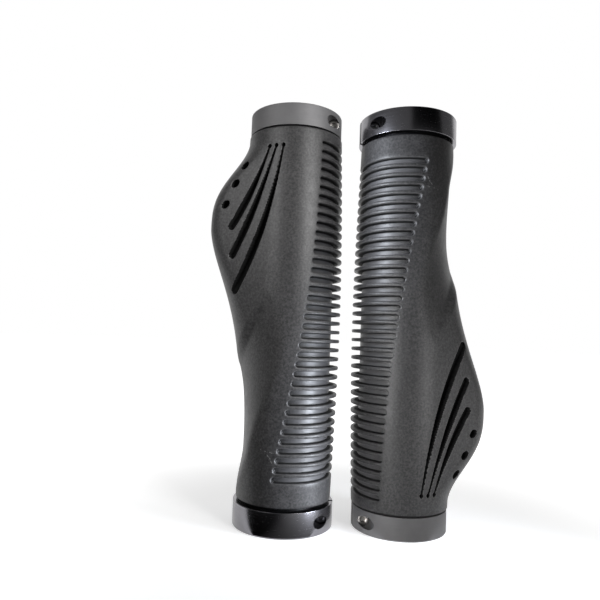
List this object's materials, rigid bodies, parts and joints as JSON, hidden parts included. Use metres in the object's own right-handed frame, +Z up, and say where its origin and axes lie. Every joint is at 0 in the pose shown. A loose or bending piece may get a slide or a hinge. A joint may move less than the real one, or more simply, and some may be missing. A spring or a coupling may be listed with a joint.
{
  "type": "handlebar grips",
  "caption": "Pair of lock-on handlebar grips: rubber sleeves with a palm wing, slits and finger grooves, on core tubes held by split lock rings with pinch bolts.",
  "frame": {"origin": "on the surface that both grips stand on, half way between their axes", "axes": "+Z up along the grips' axes, +X from the left grip to the right grip, +Y away from the viewer of the picture"},
  "size_m": [0.094, 0.034, 0.1357],
  "materials": {
    "rubber": "matte moulded rubber",
    "core_plastic": "matte black nylon",
    "outer_ring_metal": "satin dark grey anodised",
    "inner_ring_metal": "polished black anodised",
    "outer_bolt_steel": "plain steel",
    "inner_bolt_steel": "blackened steel"
  },
  "bodies": {
    "left_inner_clamp": {"left_inner_lock_ring": "inner_ring_metal"},
    "left_inner_bolt": {"left_inner_pinch_bolt": "inner_bolt_steel"},
    "left_sleeve": {"left_rubber_sleeve": "rubber", "left_core_tube": "core_plastic"},
    "left_outer_clamp": {"left_outer_lock_ring": "outer_ring_metal"},
    "left_outer_bolt": {"left_outer_pinch_bolt": "outer_bolt_steel"},
    "right_outer_clamp": {"right_outer_lock_ring": "outer_ring_metal"},
    "right_outer_bolt": {"right_outer_pinch_bolt": "outer_bolt_steel"},
    "right_sleeve": {"right_rubber_sleeve": "rubber", "right_core_tube": "core_plastic"},
    "right_inner_clamp": {"right_inner_lock_ring": "inner_ring_metal"},
    "right_inner_bolt": {"right_inner_pinch_bolt": "inner_bolt_steel"}
  },
  "joints": [
    {"name": "left_inner_bolt_turn", "type": "hinge", "parent": "left_inner_clamp", "child": "left_inner_bolt", "pos_m": [-0.00638, -0.00123, 0.0039], "axis": [-0.0958, -0.9954, 0], "range_deg": [0, 720]},
    {"name": "left_sleeve_pull", "type": "slide", "parent": "left_inner_clamp", "child": "left_sleeve", "axis": [0, 0, 1], "range_m": [0, 0.02]},
    {"name": "left_outer_clamp_pull", "type": "slide", "parent": "left_sleeve", "child": "left_outer_clamp", "axis": [0, 0, 1], "range_m": [0, 0.02]},
    {"name": "left_outer_bolt_turn", "type": "hinge", "parent": "left_outer_clamp", "child": "left_outer_bolt", "pos_m": [-0.00638, -0.00123, 0.1321], "axis": [-0.0958, -0.9954, 0], "range_deg": [0, 720]},
    {"name": "right_grip_lift", "type": "slide", "parent": "left_inner_clamp", "child": "right_outer_clamp", "axis": [0, 0, 1], "range_m": [0, 0.1]},
    {"name": "right_outer_bolt_turn", "type": "hinge", "parent": "right_outer_clamp", "child": "right_outer_bolt", "pos_m": [0.00638, -0.00123, 0.0036], "axis": [0.0958, -0.9954, 0], "range_deg": [0, 720]},
    {"name": "right_sleeve_pull", "type": "slide", "parent": "right_outer_clamp", "child": "right_sleeve", "axis": [0, 0, 1], "range_m": [0, 0.02]},
    {"name": "right_inner_clamp_pull", "type": "slide", "parent": "right_sleeve", "child": "right_inner_clamp", "axis": [0, 0, 1], "range_m": [0, 0.02]},
    {"name": "right_inner_bolt_turn", "type": "hinge", "parent": "right_inner_clamp", "child": "right_inner_bolt", "pos_m": [0.00638, -0.00123, 0.1318], "axis": [0.0958, -0.9954, 0], "range_deg": [0, 720]}
  ]
}
